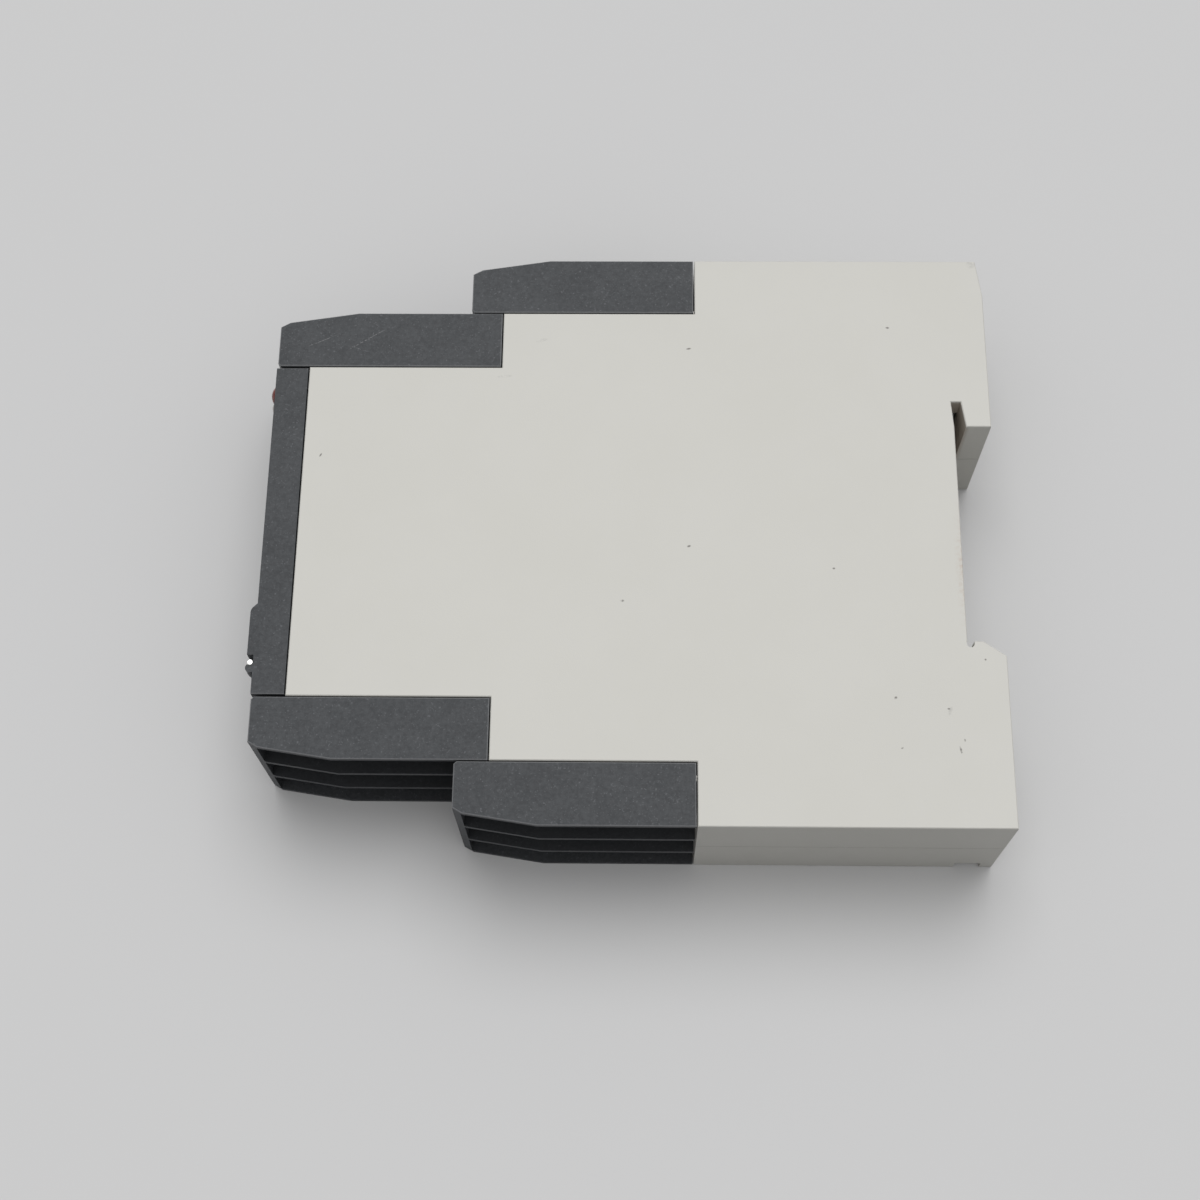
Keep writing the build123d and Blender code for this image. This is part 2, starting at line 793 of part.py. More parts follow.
def terminal_block(base):
    """Block body with three open wire channels, driver holes, cage rooms and contact slots."""
    outer_front = block_height - slope_drop
    shelf_window = 2 * (shank_radius + running_gap)
    with BuildPart() as block:
        with BuildSketch(base):
            with BuildLine():
                Polyline(
                    (0, block_corner),
                    (block_corner, 0),
                    (block_length, 0),
                    (block_length, block_height),
                    (slope_length, block_height),
                    (nose_length, outer_front),
                    (0, outer_front - nose_cut),
                    close=True,
                )
            make_face()
        extrude(amount=half_width, both=True)
        sides = block.faces().filter_by(Axis.Z)
        chamfer(sides.edges(), block_edge)
        with BuildSketch(across(base, front_wall)):
            with Locations(*[(channel_floor, w) for w in poles]):
                Rectangle(block_height, channel_width, align=(Align.MIN, Align.CENTER))
        extrude(amount=block_length, mode=Mode.SUBTRACT)
        with BuildSketch(across(base, 0)):
            with Locations(*[(screw_axis, w) for w in poles]):
                Circle(head_radius + running_gap)
        extrude(amount=screw_seat, mode=Mode.SUBTRACT)
        with BuildSketch(across(base, head_height)):
            with Locations(*[(screw_axis, w) for w in poles]):
                Rectangle(shelf_window, shelf_window)
        extrude(amount=cage_room_start - head_height, mode=Mode.SUBTRACT)
        with BuildSketch(across(base, cage_room_start)):
            with Locations(*[(screw_axis, w) for w in poles]):
                Rectangle(cage_height + cage_room_play, cage_width + 2 * clamp_gap)
        extrude(amount=cage_room_end - cage_room_start, mode=Mode.SUBTRACT)
        with BuildSketch(across(base, tongue_front - running_gap)):
            with Locations(*[(floor_skin - strip_gap, w) for w in poles]):
                Rectangle(
                    strip + 2 * strip_gap + clamp_gap,
                    strip_width + 2 * strip_gap,
                    align=(Align.MIN, Align.CENTER),
                )
        extrude(amount=block_length, mode=Mode.SUBTRACT)
        with BuildSketch(across(base, leaf_start - clamp_gap)):
            with Locations(*[(floor_skin - strip_gap, w) for w in poles]):
                Rectangle(
                    leaf_top - floor_skin + clamp_gap,
                    strip_width + 2 * strip_gap,
                    align=(Align.MIN, Align.CENTER),
                )
        extrude(amount=block_length, mode=Mode.SUBTRACT)
        wire_start, wire_end = tongue_back, cage_open + cage_front + cage_window
        with BuildSketch(level(base, screw_axis)):
            with Locations(*[((wire_start + wire_end) / 2, -w) for w in poles]):
                Rectangle(wire_end - wire_start, wire_entry_width)
        extrude(amount=block_height, mode=Mode.SUBTRACT)
    return block


def contact_strips(base):
    """Three bent strips: an upright tongue in the cage, a floor run and a leaf over the pin."""
    contact_end = block_length - contact_mouth
    with BuildPart() as strips:
        for w in poles:
            with BuildSketch(base.offset(w - strip_width / 2)):
                with BuildLine():
                    Polyline(
                        (tongue_front, floor_skin),
                        (contact_end, floor_skin),
                        (contact_end, floor_skin + strip),
                        (leaf_start + leaf_thickness, floor_skin + strip),
                        (leaf_start + leaf_thickness, leaf_low),
                        (contact_end, leaf_low),
                        (contact_end, leaf_top),
                        (leaf_start, leaf_top),
                        (leaf_start, floor_skin + strip),
                        (tongue_back, floor_skin + strip),
                        (tongue_back, cage_low + cage_height),
                        (tongue_front, cage_low + cage_height),
                        close=True,
                    )
                make_face()
            extrude(amount=strip_width)
    return strips


def clamp_screw(base, w):
    """Slotted cheese-head screw, its head resting on the shelf."""
    head_start = screw_seat - fit_gap - head_height
    with BuildPart() as screw:
        with BuildSketch(across(base, head_start, screw_axis, w)):
            Circle(head_radius)
        extrude(amount=head_height)
        with BuildSketch(across(base, head_start, screw_axis, w)):
            Rectangle(3 * head_radius, driver_slot)
        extrude(amount=driver_slot_depth, mode=Mode.SUBTRACT)
        with BuildSketch(across(base, head_start + head_height, screw_axis, w)):
            Circle(shank_radius)
        extrude(amount=tongue_front - cage_play - head_start - head_height)
    return screw


def clamp_cage(base, w):
    """Rising cage, a square ring round the strip's tongue, threaded on the screw."""
    with BuildPart() as cage:
        with BuildSketch(level(base, cage_low)):
            with Locations((cage_open, -w)):
                Rectangle(cage_length, cage_width, align=(Align.MIN, Align.CENTER))
            with Locations((cage_open + cage_front, -w)):
                Rectangle(
                    cage_window,
                    cage_opening,
                    align=(Align.MIN, Align.CENTER),
                    mode=Mode.SUBTRACT,
                )
        extrude(amount=cage_height)
        with BuildSketch(across(base, cage_open, screw_axis, w)):
            Circle(shank_radius + thread_gap)
        extrude(amount=cage_front, mode=Mode.SUBTRACT)
    return cage


def header_pins(base, side):
    """Three blades from the block, through the pocket wall, down to the main board."""
    wall_inside = block_length + block_gap + wall
    bends = [edge_pin_reach, leg_reach + leg_size / 2, leg_reach + leg_step + leg_size / 2]
    leg_bottom = board_low - leg_out
    with BuildPart() as pins:
        for z, reach in zip(poles, bends):
            with BuildSketch(across(base, block_length - pin_entry)):
                with Locations((pin_middle, side * z)):
                    Rectangle(pin_thickness, pin_width)
            extrude(amount=pin_entry + block_gap + wall + reach)
        for z, reach in list(zip(poles, bends))[1:]:
            with BuildSketch(Plane.XY.offset(leg_bottom)):
                middle = base.from_local_coords((wall_inside + reach - leg_size / 2, pin_middle, 0))
                with Locations((middle.X, middle.Y)):
                    Rectangle(leg_size, pin_thickness)
            extrude(amount=z - leg_bottom)
    return pins


for height_name, side in (("upper", 1), ("lower", -1)):
    tiers = (("front", front_block_face, shoulder_front), ("rear", rear_block_face, shoulder_rear))
    for tier_name, face, shoulder in tiers:
        base = block_plane(face, shoulder, side)
        prefix = f"{height_name}_{tier_name}"
        save(terminal_block(base), f"{prefix}_block")
        save(contact_strips(base), f"{prefix}_contacts")
        save(header_pins(base, side), f"{prefix}_header")
        for number, w in enumerate(poles, start=1):
            save(clamp_screw(base, w), f"{prefix}_screw_{number}")
            save(clamp_cage(base, w), f"{prefix}_cage_{number}")
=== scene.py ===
# %% [markdown]
# A rail-mounted current monitoring relay, lying on its left side.
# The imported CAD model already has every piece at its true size, so this lesson is about looks:
# it takes off the plain colours that came with the model, gives each plastic, metal and lens the
# finish of the real thing, and sets up a floor, the light and a camera.

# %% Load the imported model
import json
import math

import bpy
import mathutils
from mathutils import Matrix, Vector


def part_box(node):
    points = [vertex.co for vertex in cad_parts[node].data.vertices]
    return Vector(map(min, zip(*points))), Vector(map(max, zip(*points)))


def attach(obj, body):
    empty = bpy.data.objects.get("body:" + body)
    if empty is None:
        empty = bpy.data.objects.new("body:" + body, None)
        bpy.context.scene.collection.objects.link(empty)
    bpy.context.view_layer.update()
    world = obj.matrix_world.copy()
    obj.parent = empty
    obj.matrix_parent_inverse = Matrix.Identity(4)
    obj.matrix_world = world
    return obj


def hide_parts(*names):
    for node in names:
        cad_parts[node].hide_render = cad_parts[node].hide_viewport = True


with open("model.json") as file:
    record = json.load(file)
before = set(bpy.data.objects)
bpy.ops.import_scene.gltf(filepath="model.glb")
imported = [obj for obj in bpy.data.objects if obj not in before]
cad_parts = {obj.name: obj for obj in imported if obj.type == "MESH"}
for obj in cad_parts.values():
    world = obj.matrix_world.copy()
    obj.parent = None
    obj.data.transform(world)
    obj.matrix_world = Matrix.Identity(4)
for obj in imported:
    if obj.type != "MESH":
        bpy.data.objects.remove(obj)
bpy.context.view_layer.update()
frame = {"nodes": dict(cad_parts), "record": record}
nodes = frame["nodes"]
for plain_material in list(bpy.data.materials):
    bpy.data.materials.remove(plain_material)

# %% [markdown]
# The CAD is drawn in millimetres and Blender works in metres.
# One named value turns one into the other, so sizes below can be read as on a drawing.

# %% Units and the relay's main places
MM = 0.001
shell_low, shell_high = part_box("right_half_shell")
right_side = shell_high[2]
left_side = -right_side
print("the right side lies at", round(right_side / MM, 2), "mm")

# %% [markdown]
# A material in Blender is a web of nodes, and sums in it need a Math node each.
# A small class hides that: it wraps one output socket, and Python's own + - * / and ** on it
# add the Math nodes. A mask such as 1 - noise then reads as it would on paper.


# %% A socket that can be added and multiplied
class Signal:
    """One number that varies over a surface, held as an output socket of a material."""

    def __init__(self, shader, socket):
        self.shader = shader
        self.socket = socket

    def math(self, operation, *others, swap=False, clamp=False):
        """Adds one Math node; swap puts this signal second, as 1 - mask needs."""
        values = [self, *others]
        if swap:
            values.reverse()
        made = self.shader.node(
            "ShaderNodeMath", dict(enumerate(values)), operation=operation, use_clamp=clamp
        )
        return Signal(self.shader, made.outputs[0])

    def __add__(self, other):
        return self.math("ADD", other)

    def __radd__(self, other):
        return self.math("ADD", other)

    def __sub__(self, other):
        return self.math("SUBTRACT", other)

    def __rsub__(self, other):
        return self.math("SUBTRACT", other, swap=True)

    def __mul__(self, other):
        return self.math("MULTIPLY", other)

    def __truediv__(self, other):
        return self.math("DIVIDE", other)

    def __pow__(self, other):
        return self.math("POWER", other)

    def __abs__(self):
        return self.math("ABSOLUTE")

    def within(self):
        """The same signal, held between nought and one."""
        return self.math("ADD", 0.0, clamp=True)

    def ramp(self, low, high):
        """Nought below low, one above high, and a straight rise between them."""
        return ((self - low) / (high - low)).within()


# %% [markdown]
# The second class builds one material. node() makes any node, first its settings, then its
# sockets, from numbers or from signals. Places are read in millimetres from Object coordinates,
# so a grain keeps its real size on every piece and stays put when a piece moves.


# %% A builder for one material
class Shader:
    """One material with a Principled shader, and short ways to make its textures."""

    def __init__(self, name):
        self.material = bpy.data.materials.new(name)
        self.material.use_nodes = True
        self.tree = self.material.node_tree
        self.tree.nodes.clear()
        self.output = self.node("ShaderNodeOutputMaterial")
        self.principled = self.node("ShaderNodeBsdfPrincipled")
        self.link(self.principled.outputs[0], self.output.inputs["Surface"])
        coords = self.node("ShaderNodeTexCoord")
        scaled = self.node(
            "ShaderNodeMapping",
            {"Vector": coords.outputs["Object"], "Scale": (1 / MM, 1 / MM, 1 / MM)},
        )
        self.place = scaled.outputs[0]
        split = self.node("ShaderNodeSeparateXYZ", {"Vector": self.place})
        self.x, self.y, self.z = (Signal(self, socket) for socket in split.outputs)

    def link(self, source, target):
        self.tree.links.new(source, target)

    def feed(self, socket, value):
        """Links a signal or another socket to this one, or sets it to a plain value."""
        if isinstance(value, Signal):
            self.link(value.socket, socket)
        elif isinstance(value, bpy.types.NodeSocket):
            self.link(value, socket)
        else:
            socket.default_value = value

    def node(self, kind, sockets=(), **settings):
        """Makes a node, sets it up, and feeds its sockets with values or links."""
        made = self.tree.nodes.new(kind)
        for key, value in settings.items():
            setattr(made, key, value)
        for key, value in dict(sockets).items():
            self.feed(made.inputs[key], value)
        return made

    def noise(self, size, detail=2.0, roughness=0.5, stretch=(1, 1, 1)):
        """Cloudy noise from 0 to 1 whose blotches are about size millimetres across."""
        mapped = self.node("ShaderNodeMapping", {"Vector": self.place, "Scale": stretch})
        cloud = self.node(
            "ShaderNodeTexNoise",
            {
                "Vector": mapped.outputs[0],
                "Scale": 1 / size,
                "Detail": detail,
                "Roughness": roughness,
            },
        )
        return Signal(self, cloud.outputs[0])

    def mix(self, factor, first, second):
        """Blends two colours by a signal. A colour is a triple or a socket."""
        made = self.node("ShaderNodeMix", data_type="RGBA")
        self.feed(made.inputs[0], factor)
        for number, colour in ((6, first), (7, second)):
            self.feed(made.inputs[number], (*colour, 1) if isinstance(colour, tuple) else colour)
        return made.outputs[2]

    def bump(self, height, depth):
        """Feeds the Normal socket from a height signal; depth is in millimetres."""
        made = self.node(
            "ShaderNodeBump", {"Height": height, "Strength": 1.0, "Distance": depth * MM}
        )
        self.link(made.outputs[0], self.principled.inputs["Normal"])

    def surface(self, **values):
        """Sets the Principled shader; underscores in a name stand for spaces."""
        for key, value in values.items():
            socket = self.principled.inputs[key.replace("_", " ")]
            self.feed(socket, (*value, 1) if isinstance(value, tuple) else value)


# %% [markdown]
# The housing is moulded in a light warm grey plastic from a spark-eroded tool, which leaves a
# very fine matt grain. Handling adds faint grey rubs, a few dark specks and a brown smudge.
# Each mark is an ellipse at its own place on the right side, broken up by noise. The two half
# shells meet in a fine parting line, with a pale burr along parts of it.

# %% Light grey housing
HOUSING_GREY = (0.600, 0.592, 0.556)
HOUSING_SHADE = (0.588, 0.580, 0.542)
RUB_GREY = (0.36, 0.355, 0.335)
SPECK = (0.12, 0.11, 0.10)
RUST_BROWN = (0.42, 0.30, 0.22)
SLOT_BROWN = (0.30, 0.23, 0.17)
PARTING_SHADE = (0.20, 0.195, 0.18)
FLASH_PALE = (0.86, 0.85, 0.81)
TOP_SKIN = (0.6, 0.3)
RAIL_EDGE_X = (-1.2, 0.0)
RAIL_MIDDLE_Y = -6.5
RAIL_HALF_LENGTH = 11.0
SLOT_FRONT_X = (-0.8, -0.3)
SLOT_BACK_X = (1.9, 2.4)
SLOT_LOW_Y = (15.6, 16.8)
SLOT_HIGH_Y = (21.0, 21.6)
PARTING_HALF = (0.03, 0.09)
FLASH_Z = -0.14
FLASH_HALF = (0.03, 0.08)
BROKEN_EDGE_SLOPE = (0.76, 0.84)
SIDEWAYS_SLOPE = (0.8, 0.9)
CHANNEL_HALF = (10.2, 10.6)

housing = Shader("light_housing")


def spot(shader, centre, length, breadth, turn=0.0):
    """Mask of an ellipse on the right side: one at its centre, nought outside it."""
    cosine, sine = math.cos(math.radians(turn)), math.sin(math.radians(turn))
    away_x = shader.x - centre[0]
    away_y = shader.y - centre[1]
    along = (away_x * cosine + away_y * sine) / (length / 2)
    aside = (away_y * cosine - away_x * sine) / (breadth / 2)
    return (1 - (along**2 + aside**2)).within()


def on_right_side(shader):
    """One on the right side plate, nought below it."""
    plate = right_side / MM
    return shader.z.ramp(plate - TOP_SKIN[0], plate - TOP_SKIN[1])


def normal_parts(shader):
    """The three parts of the object's own normal, each without its sign."""
    coords = shader.node("ShaderNodeTexCoord")
    split = shader.node("ShaderNodeSeparateXYZ", {"Vector": coords.outputs["Normal"]})
    return [abs(Signal(shader, socket)) for socket in split.outputs]


def broken_edge(shader):
    """One on faces that lean between two main directions, as a chamfer does."""
    part_x, part_y, part_z = normal_parts(shader)
    steepest = part_x.math("MAXIMUM", part_y).math("MAXIMUM", part_z)
    return 1 - steepest.ramp(*BROKEN_EDGE_SLOPE)


def in_channel(shader):
    """One on faces that look along Z between the two side plates, such as the channel walls."""
    faces_side = normal_parts(shader)[2].ramp(*SIDEWAYS_SLOPE)
    return faces_side * (1 - abs(shader.z).ramp(*CHANNEL_HALF))


def all_spots(shader, places):
    """The masks of several ellipses, added up."""
    total = spot(shader, *places[0])
    for place in places[1:]:
        total = total + spot(shader, *place)
    return total


specks = [
    ((-39.6, 29.6), 0.9, 0.35, 10),
    ((-9.3, 33.3), 0.7, 0.4, 0),
    ((-94.6, 11.5), 0.8, 0.3, 60),
    ((-39.7, -3.0), 0.7, 0.4, 20),
    ((-49.4, -11.6), 0.7, 0.45, 0),
    ((-1.8, -33.8), 0.35, 1.5, 14),
    ((-18.7, -6.4), 0.5, 0.35, 0),
    ((-10.6, -26.1), 0.6, 0.45, 30),
    ((-3.2, -27.7), 0.5, 0.3, 0),
    ((-1.2, -32.3), 0.3, 0.5, 10),
    ((-10.0, -33.5), 0.5, 0.3, 40),
    ((2.4, -20.3), 0.35, 0.35, 0),
]
rubs = [
    ((4.2, 44.6), 2.2, 1.6, 40),
    ((-62.0, 31.0), 2.0, 0.6, 15),
    ((-67.5, 24.8), 2.5, 0.5, 5),
    ((-3.0, -28.0), 1.6, 0.6, 70),
]
speck_mask = all_spots(housing, specks)
rub_mask = all_spots(housing, rubs)
grit = housing.noise(0.5, detail=3)
cloud = housing.noise(14.0, detail=3, roughness=0.6)
grain = housing.noise(0.16, detail=1)
top = on_right_side(housing)
rub_share = rub_mask * grit.ramp(0.35, 0.6) * top * 0.55
speck_share = speck_mask * grit.ramp(0.3, 0.5) * top * 0.9
along_rail = (1 - (abs(housing.y - RAIL_MIDDLE_Y) / RAIL_HALF_LENGTH)).within()
rail_edge = housing.x.ramp(*RAIL_EDGE_X) * along_rail
rail_share = rail_edge * grit.ramp(0.4, 0.7) * top * 0.5
slot_x = housing.x.ramp(*SLOT_FRONT_X) * (1 - housing.x.ramp(*SLOT_BACK_X))
slot_y = housing.y.ramp(*SLOT_LOW_Y) * (1 - housing.y.ramp(*SLOT_HIGH_Y))
in_slot = slot_x * slot_y * (1 - top)
parting = 1 - abs(housing.z).ramp(*PARTING_HALF)
burr = housing.noise(2.6, detail=3).ramp(0.5, 0.58)
flash = (1 - abs(housing.z - FLASH_Z).ramp(*FLASH_HALF)) * burr
body_colour = housing.mix(cloud.ramp(0.35, 0.65), HOUSING_SHADE, HOUSING_GREY)
body_colour = housing.mix(rub_share.within(), body_colour, RUB_GREY)
body_colour = housing.mix(speck_share.within(), body_colour, SPECK)
body_colour = housing.mix(rail_share.within(), body_colour, RUST_BROWN)
body_colour = housing.mix(in_slot * 0.55, body_colour, SLOT_BROWN)
body_colour = housing.mix(parting * 0.45, body_colour, PARTING_SHADE)
body_colour = housing.mix(flash * 0.6, body_colour, FLASH_PALE)
housing.surface(
    Base_Color=body_colour,
    Roughness=0.52 + cloud * 0.08 - rub_mask.within() * 0.12,
    Specular_IOR_Level=0.35,
)
housing.bump(grain + rub_mask * grit * 0.5 - parting * 6 + flash * 3, 0.012)
print("housing nodes", len(housing.tree.nodes))

# %% [markdown]
# The terminal blocks and the cover are a dark grey glass-filled plastic. Its grain is coarser and
# mottled, with pale dots where fibres reach the surface. The broken edges are a little glossier,
# and they get a painted highlight: a paler colour on each face that leans between two main
# directions, as a chamfer does. The wire channels came out lighter than in the photo, so faces
# between the two side plates that look along Z get painted shade, a darker colour. Its strength is
# a given number, and inner faces of the same plastic get the painted shade too.

# %% Dark grey plastic
ANTHRACITE = (0.033, 0.036, 0.040)
ANTHRACITE_PALE = (0.060, 0.064, 0.069)
FIBRE_DOT = (0.13, 0.135, 0.145)
# The next colour is a painted highlight for the chamfered edges.
EDGE_HIGHLIGHT = (0.21, 0.214, 0.222)
# The next colour is painted shade for the wire channels.
PAINTED_CHANNEL_SHADE = (0.012, 0.013, 0.015)
SCRATCH_GREY = (0.23, 0.23, 0.235)

dark = Shader("dark_plastic")
mottle = dark.noise(0.55, detail=4, roughness=0.7)
streaks = dark.noise(5.0, detail=2)
fine = dark.noise(0.3, detail=2)
scratch_places = [
    ((-88.5, 31.2), 9.0, 0.18, 33),
    ((-95.6, 30.8), 5.5, 0.14, 25),
    ((-90.0, 29.5), 4.0, 0.12, -20),
]
scratch_mask = all_spots(dark, scratch_places)
scratch_share = scratch_mask * fine.ramp(0.42, 0.6) * on_right_side(dark) * 0.8
edge_mask = broken_edge(dark)
clouding = (mottle * 0.8 + streaks * 0.2).ramp(0.38, 0.62)
dark_colour = dark.mix(clouding, ANTHRACITE, ANTHRACITE_PALE)
dark_colour = dark.mix(fine.ramp(0.62, 0.74) * 0.7, dark_colour, FIBRE_DOT)
# Painted shade: faces between the side plates that look along Z are made darker.
dark_colour = dark.mix(in_channel(dark) * 0.65, dark_colour, PAINTED_CHANNEL_SHADE)
# Painted highlight: each chamfer face is made paler, like an edge that catches the light.
dark_colour = dark.mix(edge_mask * (0.45 + fine * 0.6), dark_colour, EDGE_HIGHLIGHT)
dark_colour = dark.mix(scratch_share.within(), dark_colour, SCRATCH_GREY)
dark.surface(
    Base_Color=dark_colour,
    Roughness=0.50 + mottle * 0.16 - edge_mask * 0.12,
    Specular_IOR_Level=0.36,
)
dark.bump(mottle + fine * 0.6, 0.016)
print("dark plastic nodes", len(dark.tree.nodes))

# %% [markdown]
# The small plastic pieces, such as knobs and switch, share one recipe: a plain colour with a
# slight drift, a fine grain, and their own gloss. One function makes each of them.


# %% Other moulded plastics
SMALL_PART_GRAIN = 0.2
SMALL_PART_SPECULAR = 0.4


def moulded(name, colour, drift, roughness, grain_depth=0.008):
    """Plain plastic whose colour drifts by a share; the grain's depth is in millimetres."""
    shader = Shader(name)
    wander = shader.noise(3.0, detail=3)
    texture = shader.noise(SMALL_PART_GRAIN, detail=2)
    paler = tuple(min(1.0, part * (1 + drift)) for part in colour)
    darker = tuple(part * (1 - drift) for part in colour)
    tone = shader.mix(wander.ramp(0.3, 0.7), darker, paler)
    shader.surface(
        Base_Color=tone, Roughness=roughness + texture * 0.08, Specular_IOR_Level=SMALL_PART_SPECULAR
    )
    shader.bump(texture, grain_depth)
    return shader


knob_grey = moulded("light_knob", (0.52, 0.52, 0.50), 0.05, 0.40)
black = moulded("black_plastic", (0.022, 0.022, 0.023), 0.2, 0.38)
relay_blue = moulded("relay_case", (0.045, 0.11, 0.34), 0.08, 0.22, grain_depth=0.003)
sleeve = moulded("capacitor_sleeve", (0.03, 0.032, 0.045), 0.15, 0.25, grain_depth=0.004)
chip_white = moulded("led_chip", (0.78, 0.76, 0.68), 0.06, 0.3, grain_depth=0.002)

# %% [markdown]
# Metals here are turned, stamped or bent and then plated. Turning and stamping leave fine lines,
# so their noise is stretched along the piece, and it feeds the roughness and a shallow bump.


# %% Plated metals
STAIN_SIZE = 1.6


def plated(name, colour, stain, roughness, stretch):
    """Metal with drawn lines along one direction and a cloudy stain."""
    shader = Shader(name)
    lines = shader.noise(0.12, detail=2, stretch=stretch)
    clouds = shader.noise(STAIN_SIZE, detail=4, roughness=0.65)
    tone = shader.mix(clouds.ramp(0.45, 0.75) * 0.6, colour, stain)
    shader.surface(
        Base_Color=tone,
        Metallic=1.0,
        Roughness=roughness + lines * 0.12 + clouds.ramp(0.5, 0.8) * 0.12,
    )
    shader.bump(lines, 0.004)
    return shader


bright = plated("bright_steel", (0.86, 0.86, 0.85), (0.6, 0.58, 0.55), 0.14, (1, 1, 0.1))
zinc = plated("zinc_steel", (0.60, 0.62, 0.65), (0.42, 0.43, 0.42), 0.26, (0.15, 1, 1))
tinned = plated("tinned_copper", (0.72, 0.70, 0.66), (0.55, 0.46, 0.36), 0.3, (0.15, 1, 1))

# %% [markdown]
# The transformer's core is a stack of varnished sheets, which a wave across the stack shows.
# Its winding is wrapped in glossy yellow tape, and the boards have green solder resist with
# copper tracks under it, drawn as the edges of large square cells.


# %% Core, tape and circuit board
core = Shader("core_steel")
sheets = core.node("ShaderNodeTexWave", {"Vector": core.place, "Scale": 0.32}, bands_direction="Z")
layer = Signal(core, sheets.outputs["Fac"])
varnish = core.noise(2.0, detail=3)
core.surface(
    Base_Color=core.mix(layer.ramp(0.2, 0.8), (0.09, 0.08, 0.075), (0.26, 0.25, 0.24)),
    Metallic=0.7,
    Roughness=0.34 + varnish * 0.2,
)
core.bump(layer, 0.03)

tape = Shader("coil_tape")
wraps = tape.node("ShaderNodeTexWave", {"Vector": tape.place, "Scale": 0.09}, bands_direction="Y")
wrap = Signal(tape, wraps.outputs["Fac"])
crease = tape.noise(1.4, detail=3)
tape.surface(
    Base_Color=tape.mix(wrap.ramp(0.1, 0.5), (0.50, 0.36, 0.05), (0.72, 0.56, 0.12)),
    Roughness=0.22 + crease * 0.15,
)
tape.bump(wrap * 0.6 + crease * 0.4, 0.03)

circuit = Shader("circuit_board")
tracks = circuit.node(
    "ShaderNodeTexVoronoi",
    {"Vector": circuit.place, "Scale": 0.34},
    feature="DISTANCE_TO_EDGE",
    distance="EUCLIDEAN",
)
edge = Signal(circuit, tracks.outputs["Distance"])
track = 1 - edge.ramp(0.05, 0.09)
weave = circuit.noise(0.5, detail=2)
resist = circuit.mix(track, (0.012, 0.085, 0.03), (0.05, 0.20, 0.07))
circuit.surface(Base_Color=resist, Roughness=0.28 + weave * 0.12)
circuit.bump(track + weave * 0.1, 0.02)

# %% [markdown]
# The lamps are clear plastic with a tint. Light passes through them, so the shader transmits,
# and a slight frost in the roughness hides the light guide behind the dome.


# %% Lamp lenses
def lens(name, tint, deep, roughness):
    """Tinted clear plastic, a little deeper in colour in places, with moulding ripples."""
    shader = Shader(name)
    ripple = shader.noise(0.9, detail=2)
    shader.surface(
        Base_Color=shader.mix(ripple.ramp(0.3, 0.7), tint, deep),
        Roughness=roughness + ripple * 0.1,
        Transmission_Weight=0.55,
        IOR=1.49,
    )
    shader.bump(ripple, 0.01)
    return shader


red_lens = lens("red_lens", (0.42, 0.075, 0.045), (0.30, 0.05, 0.035), 0.12)
clear_lens = lens("clear_lens", (0.80, 0.76, 0.70), (0.70, 0.66, 0.60), 0.18)

# %% [markdown]
# Every CAD node carries the name of its finish in the record, so one loop dresses them all.

# %% Dress the CAD nodes
finishes = {
    made.material.name: made
    for made in (
        housing, dark, knob_grey, black, relay_blue, sleeve, chip_white, bright, zinc, tinned,
        core, tape, circuit, red_lens, clear_lens,
    )
}
slot_of = {part["node"]: part["material_slot"] for part in frame["record"]["subparts"]}
for name, node in nodes.items():
    node.data.materials.clear()
    node.data.materials.append(finishes[slot_of[name]].material)
print("dressed", len(nodes), "nodes with", len(set(slot_of.values())), "finishes")

# %% [markdown]
# Lamps, hinge pin and screws look best with true round edges and threads, which the CAD model
# leaves out. Each is modelled here the way it is made, starting from a primitive at its own place.
# The helpers below pick what an edit acts on, apply a modifier, and hand the finished piece to
# its CAD node.


# %% Helpers for modelling
SMOOTH_BELOW = math.radians(35)

body_of = {}
for body, members in frame["record"]["behaviour"]["bodies"].items():
    for member in members:
        body_of[member] = body


def pick(piece, kind, test):
    """Leaves edit mode on, with just those vertices selected whose place passes a test."""
    bpy.ops.object.mode_set(mode="EDIT")
    bpy.ops.mesh.select_mode(type="VERT")
    bpy.ops.mesh.select_all(action="DESELECT")
    bpy.ops.object.mode_set(mode="OBJECT")
    for vertex in piece.data.vertices:
        vertex.select = test(piece.matrix_world @ vertex.co)
    bpy.ops.object.mode_set(mode="EDIT")
    bpy.ops.mesh.select_mode(type=kind)


def alone(piece):
    """Leaves object mode on, with only this piece selected and active."""
    if bpy.context.object and bpy.context.object.mode != "OBJECT":
        bpy.ops.object.mode_set(mode="OBJECT")
    bpy.ops.object.select_all(action="DESELECT")
    piece.select_set(True)
    bpy.context.view_layer.objects.active = piece


def modifier_applied(piece, kind, **settings):
    """Adds a modifier with its settings and applies it."""
    alone(piece)
    modifier = piece.modifiers.new(kind.title(), kind)
    for key, value in settings.items():
        setattr(modifier, key, value)
    bpy.ops.object.modifier_apply(modifier=modifier.name)


def stands_for(piece, node, finish):
    """Fixes the piece's place in its mesh, dresses it and lets it stand for a CAD node."""
    alone(piece)
    bpy.ops.object.transform_apply(location=True, rotation=True, scale=True)
    bpy.ops.object.shade_smooth_by_angle(angle=SMOOTH_BELOW)
    piece.name = f"{node}_detailed"
    piece.data.materials.clear()
    piece.data.materials.append(finish.material)
    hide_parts(node)
    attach(piece, body_of[node])


# %% [markdown]
# The two lamps stand proud of the cover as round domes: the camera sees a strip of red and the
# tip of a clear one over the cover's edge. Each starts as a sphere with its poles along X. The
# half behind the face is deleted, the dome is stretched to its height, and its open rim is
# extruded back as a collar and then, drawn in, as the guide that leads to the LED.

# %% Lamp domes
COLLAR_DEPTH = 1.8 * MM
GUIDE_SHARE = 0.68
RED_DOME = 1.12 * MM
CLEAR_DOME = 1.72 * MM
COVER_FACE = -102.2 * MM
NEAR = 0.01 * MM


